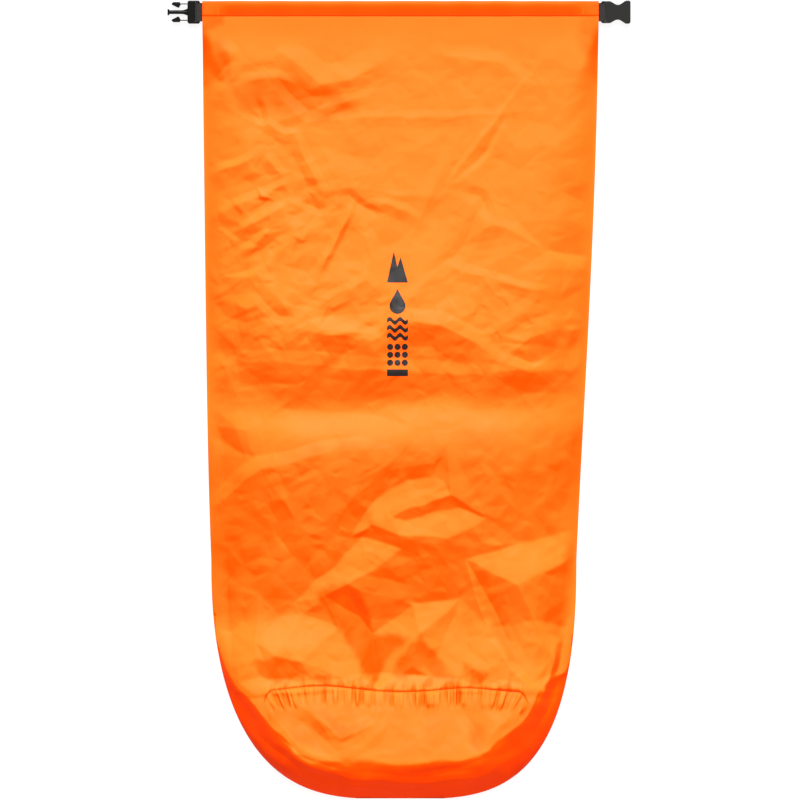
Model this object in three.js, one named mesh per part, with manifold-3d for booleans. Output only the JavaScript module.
// A 40-litre-class roll-top dry bag, empty and lying on its back, in millimetres.
// +X runs across the bag, +Y towards the mouth, +Z up off the ground. The origin is the centre of the
// footprint, on the ground. Two wall panels and a round base hold the load, a stiffened hem closes the
// mouth, and a side-release buckle is sewn to the hem's ends on webbing tabs.
import * as THREE from "three";
import { mergeVertices } from "three/addons/utils/BufferGeometryUtils.js";
import Module from "manifold-3d";

const wasm = await Module();
wasm.setup();

// ---- driving dimensions ----
const BAG_LENGTH = 956; // mouth edge to the end of the base
const END_BLUNTNESS = 1; // how far past the end the outline would come to a point
const MOUTH_WIDTH = 476; // flat width at the mouth
const TAPER = 18.6; // how much narrower each side is where the base begins to round
const ROUND_FROM = 670; // distance from the mouth where the outline begins to round
const SWAY = 8; // how far the lower half leans to -X as it lies
const PANEL = 1; // modelled thickness of a fabric panel
const GAP = 0.3; // between neighbouring pieces
const BODY_HEIGHT = 54; // height of the slack base end
const COLLAR_HEIGHT = 6.4; // height of the flattened collar
const CREST = 840; // distance from the mouth of the highest point
const MERGE = PANEL / 2; // height at which the folded base's upper half runs into its lower half

const HEM_HEIGHT = 17.5; // along Y
const LIP_LENGTH = 6; // doubled fabric below the sleeve
const LIP_THICKNESS = 1;
const HEM_THICKNESS = 2; // one side of the mouth
const SLEEVE_WALL = 0.4;
const MOUTH_THICKNESS = 8.4; // both hems and the gap between them
const STIFFENER_INSET = 1.5;
const STIFFENER_THICKNESS = 1;
const STIFFENER_LENGTH = 464;

const FOLDS = [25, 53.5, 84.5]; // distances from the mouth of the three roll lines
const FOLD_CLEARANCE = 1.5;

const SEAM_FRONT = 826; // base seam, distance from the mouth on the front
const SEAM_BACK = 815; // the same on the back
const SEAM_SIDE = 895; // where the seam loop passes the side folds
const TAPE_WIDTH = 16;
const TAPE_THICKNESS = 0.4;
const TAPE_LIFT = 0.6; // tape to the face that it seals

const WEBBING_WIDTH = 22;
const WEBBING_THICKNESS = 1.2;
const TAB_INSERT = 25; // length sewn into the hem
const TAB_GAP = 2.8; // hem end to the buckle
const STRAP_DROP = 11.75; // mouth edge to the middle of the webbing and the buckle
const BUCKLE_WIDTH = 27.5;
const BUCKLE_THICKNESS = MOUTH_THICKNESS;
const BAR_RADIUS = 1.6;
const BAR_INSET = 2.2; // strap end to the bar's axis
const SLOT_END = 5.7; // strap end to the far side of the webbing slot
const SLOT_WIDTH = 22.8;
const MALE_BLOCK = 15; // strap end to the shoulder
const PRONG_LENGTH = 24;
const ARM_LENGTH = 19.5;
const FEMALE_LENGTH = 35.4;
const SOCKET_DEPTH = 24.6;
const SOCKET_WIDTH = 21.4;
const SOCKET_HEIGHT = 4.6;

// ---- places that follow from them ----
const HALF_MOUTH = MOUTH_WIDTH / 2;
const MALE_REACH = TAB_GAP + MALE_BLOCK + PRONG_LENGTH;
const FEMALE_REACH = TAB_GAP + FEMALE_LENGTH;
const BAG_X = (MALE_REACH - FEMALE_REACH) / 2;
const MOUTH_Y = (BAG_LENGTH - (BUCKLE_WIDTH / 2 - STRAP_DROP)) / 2;
const STRAP_Y = MOUTH_Y - STRAP_DROP;
const MID_Z = MOUTH_THICKNESS / 2;
const HEM_Y = MOUTH_Y - HEM_HEIGHT / 2;
const LEFT_EDGE = BAG_X - HALF_MOUTH;
const RIGHT_EDGE = BAG_X + HALF_MOUTH;

// ---- materials ----
const FABRIC = new THREE.MeshStandardMaterial({ color: 0xff6a10, roughness: 0.55 });
const TAPE = new THREE.MeshStandardMaterial({ color: 0xf0a060, roughness: 0.4 });
const STIFFENER = new THREE.MeshStandardMaterial({ color: 0xd8d8d4, roughness: 0.5 });
const WEBBING = new THREE.MeshStandardMaterial({ color: 0x2a2828, roughness: 0.85 });
const ACETAL = new THREE.MeshStandardMaterial({ color: 0x1c1c1d, roughness: 0.45 });
const THREAD = new THREE.MeshStandardMaterial({ color: 0xe85a0c, roughness: 0.8 });

// ---- the bag's outline and height ----
const clamp01 = (t) => Math.min(1, Math.max(0, t));
const smooth = (t) => clamp01(t) ** 2 * (3 - 2 * clamp01(t));

// Half width of the bag lying flat, s from the mouth: a slight taper, then a rounded end.
function halfWidth(s) {
  const straight = HALF_MOUTH - TAPER * Math.min(1, s / ROUND_FROM) ** 1.5;
  const t = clamp01((s - ROUND_FROM) / (BAG_LENGTH + END_BLUNTNESS - ROUND_FROM));
  return straight * (1 - t ** 2.35) ** (1 / 3.35);
}

const centreX = (s) => BAG_X - SWAY * Math.sin(Math.PI * (s / BAG_LENGTH) ** 2);

// Height of the upper face along the middle: it climbs from the collar, then rounds down to the ground.
function crown(s) {
  const climb = smooth((s - FOLDS[2]) / (CREST - FOLDS[2])) ** 0.9;
  const full = COLLAR_HEIGHT + (BODY_HEIGHT - COLLAR_HEIGHT) * climb;
  const t = clamp01((s - SEAM_FRONT) / (BAG_LENGTH - SEAM_FRONT));
  return MERGE + (full - MERGE) * (1 - t ** 2.6) ** 0.5;
}

// How square the cross-section is: a flat tube at the collar, a rounded hump at the base.
const squareness = (s) => 9 - 6.2 * smooth((s - FOLDS[2]) / (SEAM_FRONT - FOLDS[2]));

// A point of the upper face: u runs from -1 at the left side fold to 1 at the right one.
function upperFace(u, s, edgeZ = PANEL + GAP) {
  const angle = (u * Math.PI) / 2;
  const power = 2 / squareness(s);
  const across = Math.sign(u) * Math.abs(Math.sin(angle)) ** power;
  const up = Math.cos(angle) ** power;
  return new THREE.Vector3(
    centreX(s) + halfWidth(s) * across,
    MOUTH_Y - s,
    edgeZ + (crown(s) - edgeZ) * up,
  );
}

// The same point moved inwards by depth, along the face's normal, and no lower than the edge.
function underFace(u, s, depth, edgeZ = PANEL + GAP) {
  const step = 0.02;
  const point = upperFace(u, s, edgeZ);
  if (Math.abs(u) > 1 - step) return point.setX(point.x - Math.sign(u) * depth);
  const acrossU = upperFace(u + step, s, edgeZ).sub(upperFace(u - step, s, edgeZ));
  const alongS = upperFace(u, s - 1, edgeZ).sub(upperFace(u, s + 1, edgeZ));
  const normal = acrossU.cross(alongS).normalize();
  point.addScaledVector(normal, -depth);
  return point.setZ(Math.max(point.z, edgeZ));
}

// ---- building tools ----
// A closed slab between two sheets of points on the same grid; the faces point out either way round.
function slab(columns, rows, outer, inner) {
  const points = [];
  for (const sheet of [outer, inner])
    for (let j = 0; j <= rows; j++)
      for (let i = 0; i <= columns; i++)
        points.push(sheet((2 * i) / columns - 1, j / rows));
  const at = (side, i, j) => side * (columns + 1) * (rows + 1) + j * (columns + 1) + i;
  const faces = [];
  const quad = (a, b, c, d) => faces.push(a, b, c, a, c, d);
  for (let j = 0; j < rows; j++)
    for (let i = 0; i < columns; i++) {
      quad(at(0, i, j), at(0, i, j + 1), at(0, i + 1, j + 1), at(0, i + 1, j));
      quad(at(1, i, j), at(1, i + 1, j), at(1, i + 1, j + 1), at(1, i, j + 1));
    }
  for (let i = 0; i < columns; i++) {
    quad(at(0, i, 0), at(0, i + 1, 0), at(1, i + 1, 0), at(1, i, 0));
    quad(at(0, i, rows), at(1, i, rows), at(1, i + 1, rows), at(0, i + 1, rows));
  }
  for (let j = 0; j < rows; j++) {
    quad(at(0, 0, j), at(1, 0, j), at(1, 0, j + 1), at(0, 0, j + 1));
    quad(at(0, columns, j), at(0, columns, j + 1), at(1, columns, j + 1), at(1, columns, j));
  }
  return new THREE.BufferGeometry().setFromPoints(points).setIndex(faces);
}

// A flat strip of fabric between two heights, its sides given by left(v) and right(v) points in XY.
function plate(rows, left, right, low, high, columns = 1) {
  const sheet = (z) => (u, v) => {
    const [a, b] = [left(v), right(v)];
    const t = (u + 1) / 2;
    return new THREE.Vector3(a.x + (b.x - a.x) * t, a.y + (b.y - a.y) * t, z);
  };
  return slab(columns, rows, sheet(high), sheet(low));
}

function toSolid(geometry) {
  const bare = new THREE.BufferGeometry();
  const flat = geometry.index ? geometry.toNonIndexed() : geometry;
  bare.setAttribute("position", flat.getAttribute("position"));
  const merged = mergeVertices(bare, 1e-4);
  const vertProperties = merged.getAttribute("position").array;
  const triVerts = new Uint32Array(merged.index.array);
  return new wasm.Manifold(new wasm.Mesh({ numProp: 3, vertProperties, triVerts }));
}

function toGeometry(solid) {
  const { numProp, numVert, vertProperties, triVerts } = solid.getMesh();
  const points = [];
  for (let i = 0; i < numVert; i++)
    points.push(new THREE.Vector3().fromArray(vertProperties, i * numProp));
  return new THREE.BufferGeometry().setFromPoints(points).setIndex([...triVerts]);
}

const join = (first, ...rest) =>
  toGeometry(rest.reduce((sum, g) => sum.add(toSolid(g)), toSolid(first)));
const cut = (first, ...rest) =>
  toGeometry(rest.reduce((left, g) => left.subtract(toSolid(g)), toSolid(first)));

const box = (x0, x1, y0, y1, z0, z1) =>
  new THREE.BoxGeometry(x1 - x0, y1 - y0, z1 - z0).translate(
    (x0 + x1) / 2,
    (y0 + y1) / 2,
    (z0 + z1) / 2,
  );

// A plan shape in XY raised from z0 to z1, with its upper and lower edges bevelled.
function raised(shape, z0, z1, bevel = 0) {
  const options = {
    depth: z1 - z0 - 2 * bevel,
    bevelEnabled: bevel > 0,
    bevelThickness: bevel,
    bevelSize: bevel,
    bevelOffset: -bevel,
    bevelSegments: 2,
    curveSegments: 6,
  };
  return new THREE.ExtrudeGeometry(shape, options).translate(0, 0, z0 + bevel);
}

const bag = new THREE.Group();
function add(name, geometry, material, x = 0, y = 0, z = 0) {
  const mesh = new THREE.Mesh(geometry, material);
  mesh.name = name;
  mesh.position.set(x, y, z);
  bag.add(mesh);
}

// ---- wall panels, base and seam tapes ----
// The base seam runs straight across the middle and swings down to the side folds.
function seamAt(u, middle) {
  const across = Math.abs(Math.sin((u * Math.PI) / 2)) ** (2 / squareness(middle));
  return middle + (SEAM_SIDE - middle) * smooth((across - 0.72) / 0.28);
}

const between = (a, b, v) => a + (b - a) * v;

function frontWall(from, to, columns, rows) {
  const along = (u, v) => between(from, to(u), v);
  return slab(
    columns,
    rows,
    (u, v) => upperFace(u, along(u, v)),
    (u, v) => underFace(u, along(u, v), PANEL),
  );
}

function backWall(from, to, columns, rows) {
  const sheet = (z) => (u, v) => {
    const s = between(from, to(u), v);
    const across = Math.sign(u) * Math.abs(Math.sin((u * Math.PI) / 2)) ** (2 / squareness(s));
    return new THREE.Vector3(centreX(s) + halfWidth(s) * across, MOUTH_Y - s, z);
  };
  return slab(columns, rows, sheet(PANEL), sheet(0));
}

function addWalls() {
  const from = FOLDS[2] + FOLD_CLEARANCE;
  add("front_panel", frontWall(from, (u) => seamAt(u, SEAM_FRONT) - GAP, 16, 26), FABRIC);
  add("back_panel", backWall(from, (u) => seamAt(u, SEAM_BACK) - GAP, 16, 12), FABRIC);
}

// The round base lies folded over the end: its front half over the slack end, its back half under it.
function addBase() {
  const lastStretch = (from, v) => between(from, BAG_LENGTH, Math.sin((v * Math.PI) / 2));
  const front = (u, v) => lastStretch(seamAt(u, SEAM_FRONT) + GAP, v);
  const upper = slab(
    16,
    12,
    (u, v) => upperFace(u, front(u, v), MERGE),
    (u, v) => underFace(u, front(u, v), PANEL, MERGE),
  );
  const lowerSheet = (z) => (u, v) => {
    const s = lastStretch(seamAt(u, SEAM_BACK) + GAP, v);
    const across = Math.sign(u) * Math.abs(Math.sin((u * Math.PI) / 2)) ** (2 / squareness(s));
    return new THREE.Vector3(centreX(s) + halfWidth(s) * across, MOUTH_Y - s, z);
  };
  add("base_panel", join(upper, slab(16, 10, lowerSheet(PANEL), lowerSheet(0))), FABRIC);
}

function addSeamTapes() {
  const from = FOLDS[2] + 4;
  const to = SEAM_BACK - 2 * TAPE_WIDTH;
  const inset = 12; // the side folds stay clear of the tape
  for (const [name, side] of [["left", -1], ["right", 1]]) {
    const edge = (depth) => (v) => {
      const s = between(from, to, v);
      return new THREE.Vector2(centreX(s) + side * (halfWidth(s) - depth), MOUTH_Y - s);
    };
    const [outer, inner] = [edge(inset), edge(inset + TAPE_WIDTH)];
    const low = PANEL + TAPE_LIFT;
    const sides = side < 0 ? [outer, inner] : [inner, outer];
    add(`side_seam_tape_${name}`, plate(12, ...sides, low, low + TAPE_THICKNESS), TAPE);
  }
  const reach = 0.5; // the tape's straight stretch, as a share of the panel
  const strip = (middle, face) => (u, v) =>
    face(u * reach, between(middle - TAPE_WIDTH / 2, middle + TAPE_WIDTH / 2, v));
  const under = (depth) => strip(SEAM_FRONT, (u, s) => underFace(u, s, depth));
  const depth = PANEL + TAPE_LIFT;
  add("base_seam_tape_front", slab(8, 4, under(depth), under(depth + TAPE_THICKNESS)), TAPE);
  const low = PANEL + TAPE_LIFT;
  const half = reach * MOUTH_WIDTH * 0.75;
  const flat = (x) => (v) =>
    new THREE.Vector2(
      centreX(SEAM_BACK) + x,
      MOUTH_Y - SEAM_BACK - TAPE_WIDTH * (v - 0.5),
    );
  add("base_seam_tape_back", plate(1, flat(-half), flat(half), low, low + TAPE_THICKNESS), TAPE);
}

// ---- collar: the stretch of wall that rolls, between the hem and the bag ----
function addCollar() {
  const stretches = [
    ["collar_upper", FOLDS[0], FOLDS[1]],
    ["collar_lower", FOLDS[1], FOLDS[2]],
  ];
  for (const [name, from, to] of stretches) {
    const [a, b] = [from + FOLD_CLEARANCE, to - FOLD_CLEARANCE];
    add(`${name}_front`, frontWall(a, () => b, 16, 1), FABRIC);
    add(`${name}_back`, backWall(a, () => b, 2, 1), FABRIC);
  }
}

// ---- hem: two sleeves of folded fabric, each around a stiffener ----
function roundedRectangle(width, height, radius) {
  const [x, y] = [width / 2, height / 2];
  const shape = new THREE.Shape();
  shape.moveTo(-x + radius, -y);
  shape.lineTo(x - radius, -y);
  shape.absarc(x - radius, -y + radius, radius, -Math.PI / 2, 0);
  shape.lineTo(x, y - radius);
  shape.absarc(x - radius, y - radius, radius, 0, Math.PI / 2);
  shape.lineTo(-x + radius, y);
  shape.absarc(-x + radius, y - radius, radius, Math.PI / 2, Math.PI);
  shape.lineTo(-x, -y + radius);
  shape.absarc(-x + radius, -y + radius, radius, Math.PI, 1.5 * Math.PI);
  return shape;
}

// A section in YZ carried along X, centred on the bag.
function alongX(shape, length) {
  const options = { depth: length, bevelEnabled: false, curveSegments: 3 };
  return new THREE.ExtrudeGeometry(shape, options)
    .applyMatrix4(new THREE.Matrix4().set(0, 0, 1, 0, 1, 0, 0, 0, 0, 1, 0, 0, 0, 0, 0, 1))
    .translate(BAG_X - length / 2, HEM_Y, 0);
}

function addHem() {
  const sleeve = roundedRectangle(HEM_HEIGHT, HEM_THICKNESS, 0.9);
  const inside = [HEM_HEIGHT - 2 * SLEEVE_WALL, HEM_THICKNESS - 2 * SLEEVE_WALL];
  sleeve.holes.push(roundedRectangle(...inside, 0.5));
  const [lipTop, half] = [HEM_Y - HEM_HEIGHT / 2 + SLEEVE_WALL / 2, LIP_THICKNESS / 2];
  const lip = box(LEFT_EDGE, RIGHT_EDGE, lipTop - LIP_LENGTH, lipTop, -half, half);
  const strip = roundedRectangle(HEM_HEIGHT - 2 * STIFFENER_INSET, STIFFENER_THICKNESS, 0.45);
  const sides = [
    ["back", HEM_THICKNESS / 2],
    ["front", MOUTH_THICKNESS - HEM_THICKNESS / 2],
  ];
  for (const [name, z] of sides) {
    add(`hem_sleeve_${name}`, join(alongX(sleeve, MOUTH_WIDTH), lip), FABRIC, 0, 0, z);
    add(`stiffener_${name}`, alongX(strip, STIFFENER_LENGTH), STIFFENER, 0, 0, z);
  }
}

// ---- webbing tabs and their bar tacks ----
// A tab's section in XZ: two legs from the hem, opening into a loop around the buckle's bar.
// The bar is at the section's origin, and the hem lies towards +X.
function tabSection() {
  const inner = BAR_RADIUS + 0.3;
  const outer = inner + WEBBING_THICKNESS;
  const legInner = 0.1;
  const legOuter = legInner + WEBBING_THICKNESS;
  const hemEnd = TAB_GAP + BAR_INSET;
  const tail = hemEnd + TAB_INSERT;
  const shape = new THREE.Shape();
  shape.moveTo(tail, legOuter);
  shape.lineTo(hemEnd, legOuter);
  shape.bezierCurveTo(hemEnd * 0.7, legOuter, outer * 0.6, outer, 0, outer);
  shape.absarc(0, 0, outer, Math.PI / 2, 1.5 * Math.PI);
  shape.bezierCurveTo(outer * 0.6, -outer, hemEnd * 0.7, -legOuter, hemEnd, -legOuter);
  shape.lineTo(tail, -legOuter);
  shape.lineTo(tail, -legInner);
  shape.lineTo(hemEnd, -legInner);
  shape.bezierCurveTo(hemEnd * 0.7, -legInner, inner * 0.8, -inner, 0, -inner);
  shape.absarc(0, 0, inner, 1.5 * Math.PI, Math.PI / 2, true);
  shape.bezierCurveTo(inner * 0.8, inner, hemEnd * 0.7, legInner, hemEnd, legInner);
  shape.lineTo(tail, legInner);
  return shape;
}

function addTabs() {
  const options = { depth: WEBBING_WIDTH, bevelEnabled: false, curveSegments: 8 };
  const bar = TAB_GAP + BAR_INSET;
  const tab = () =>
    new THREE.ExtrudeGeometry(tabSection(), options)
      .rotateX(Math.PI / 2)
      .translate(0, WEBBING_WIDTH / 2, 0);
  add("webbing_tab_left", tab(), WEBBING, LEFT_EDGE - bar, STRAP_Y, MID_Z);
  add("webbing_tab_right", tab().rotateZ(Math.PI), WEBBING, RIGHT_EDGE + bar, STRAP_Y, MID_Z);
  const tack = { length: 13, width: 2, height: 0.4, lift: 0.05 };
  const insets = [["outer", 4], ["inner", 19]];
  for (const [side, edge, inwards] of [["left", LEFT_EDGE, 1], ["right", RIGHT_EDGE, -1]])
    for (const [place, inset] of insets) {
      const shape = roundedRectangle(tack.width, tack.length, 0.9);
      const z = MOUTH_THICKNESS + tack.lift;
      const x = edge + inwards * inset;
      add(`bar_tack_${side}_${place}`, raised(shape, z, z + tack.height), THREAD, x, HEM_Y);
    }
}

// ---- side-release buckle, each half with its strap end at x = 0 and its free end towards +X ----
// A plan outline that is the same above and below the centre line, from points (x, half width).
function mirrored(points) {
  const shape = new THREE.Shape(points.map(([x, y]) => new THREE.Vector2(x, y)));
  for (const [x, y] of [...points].reverse()) if (y > 0) shape.lineTo(x, -y);
  return shape;
}

// The strap end that both halves have: a slot for the webbing, and a round bar to wrap it round.
function strapEnd(housing) {
  const half = SLOT_WIDTH / 2;
  const [low, high] = [-1, BUCKLE_THICKNESS + 1];
  const slot = box(-1, SLOT_END, -half, half, low, high);
  const bar = new THREE.CylinderGeometry(BAR_RADIUS, BAR_RADIUS, SLOT_WIDTH + 2, 16);
  return join(cut(housing, slot), bar.translate(BAR_INSET, 0, MID_Z));
}

function maleBody() {
  const half = BUCKLE_WIDTH / 2;
  const corner = 1.6;
  const block = mirrored([
    [0, half - corner],
    [corner, half],
    [MALE_BLOCK - corner, half],
    [MALE_BLOCK, half - corner],
  ]);
  const prong = new THREE.Shape();
  const [root, waist, head, headLength] = [4.6, 2.2, 3.8, 2.4];
  const neck = MALE_BLOCK + PRONG_LENGTH - headLength;
  const tip = MALE_BLOCK + PRONG_LENGTH;
  prong.moveTo(MALE_BLOCK - 1, -root);
  prong.bezierCurveTo(MALE_BLOCK + 4, -waist, MALE_BLOCK + 6, -waist, MALE_BLOCK + 9, -waist);
  prong.lineTo(neck, -waist);
  prong.lineTo(neck + 1, -head);
  prong.lineTo(tip, -head);
  prong.lineTo(tip, head);
  prong.lineTo(neck + 1, head);
  prong.lineTo(neck, waist);
  prong.lineTo(MALE_BLOCK + 9, waist);
  prong.bezierCurveTo(MALE_BLOCK + 6, waist, MALE_BLOCK + 4, waist, MALE_BLOCK - 1, root);
  const thin = 1.9; // half thickness of the prong
  const rib = box(MALE_BLOCK - 1, neck, -0.7, 0.7, MID_Z - thin - 0.3, MID_Z + thin + 0.3);
  return join(
    strapEnd(raised(block, 0, BUCKLE_THICKNESS, 0.8)),
    raised(prong, MID_Z - thin, MID_Z + thin),
    rib,
  );
}

// One sprung arm: a thin stem from the shoulder and an arrow head, on the +Y side.
function latchArm() {
  const from = MALE_BLOCK + GAP;
  const headFrom = MALE_BLOCK + 9;
  const tip = MALE_BLOCK + ARM_LENGTH;
  const [stemLow, stemHigh, headLow, headHigh] = [9.3, 10.4, 5.4, 12];
  const arm = new THREE.Shape();
  arm.moveTo(from, stemLow);
  arm.lineTo(headFrom - 1, stemLow);
  arm.lineTo(headFrom + 1.4, headLow);
  arm.lineTo(headFrom + 2.6, headLow);
  arm.lineTo(tip - 0.8, 8.9);
  arm.quadraticCurveTo(tip, 9.9, tip - 1, 10.8);
  arm.lineTo(tip - 2.4, headHigh);
  arm.lineTo(headFrom, headHigh);
  arm.lineTo(headFrom, stemHigh);
  arm.lineTo(from, stemHigh);
  return raised(arm, MID_Z - 2, MID_Z + 2, 0.25);
}

function femaleHousing() {
  const [strapHalf, waistHalf, mouthHalf, corner] = [13.1, 8.8, BUCKLE_WIDTH / 2, 1.6];
  const outline = [
    [0, strapHalf - corner],
    [corner, strapHalf],
    [9, strapHalf],
  ];
  const [waistFrom, waistTo, steps] = [10.5, 30, 12];
  for (let i = 0; i <= steps; i++) {
    const t = i / steps;
    const dip = Math.sin(Math.PI * t) ** 1.4;
    const level = between(strapHalf, mouthHalf, t);
    outline.push([between(waistFrom, waistTo, t), level - (level - waistHalf) * dip]);
  }
  outline.push([FEMALE_LENGTH - corner, mouthHalf], [FEMALE_LENGTH, mouthHalf - corner]);
  const [w, h] = [SOCKET_WIDTH / 2, SOCKET_HEIGHT / 2];
  const floor = FEMALE_LENGTH - SOCKET_DEPTH;
  const socket = box(floor, FEMALE_LENGTH + 1, -w, w, MID_Z - h, MID_Z + h);
  return cut(strapEnd(raised(mirrored(outline), 0, BUCKLE_THICKNESS, 0.8)), socket);
}

function addBuckle() {
  const maleX = LEFT_EDGE - TAB_GAP;
  const turned = (geometry) => geometry.rotateZ(Math.PI);
  const upperArm = latchArm().rotateX(Math.PI).translate(0, 0, 2 * MID_Z);
  add("male_buckle_body", turned(maleBody()), ACETAL, maleX, STRAP_Y);
  add("latch_arm_lower", turned(latchArm()), ACETAL, maleX, STRAP_Y);
  add("latch_arm_upper", turned(upperArm), ACETAL, maleX, STRAP_Y);
  add("female_buckle_housing", femaleHousing(), ACETAL, RIGHT_EDGE + TAB_GAP, STRAP_Y);
}

addWalls();
addBase();
addSeamTapes();
addCollar();
addHem();
addTabs();
addBuckle();

export default bag;
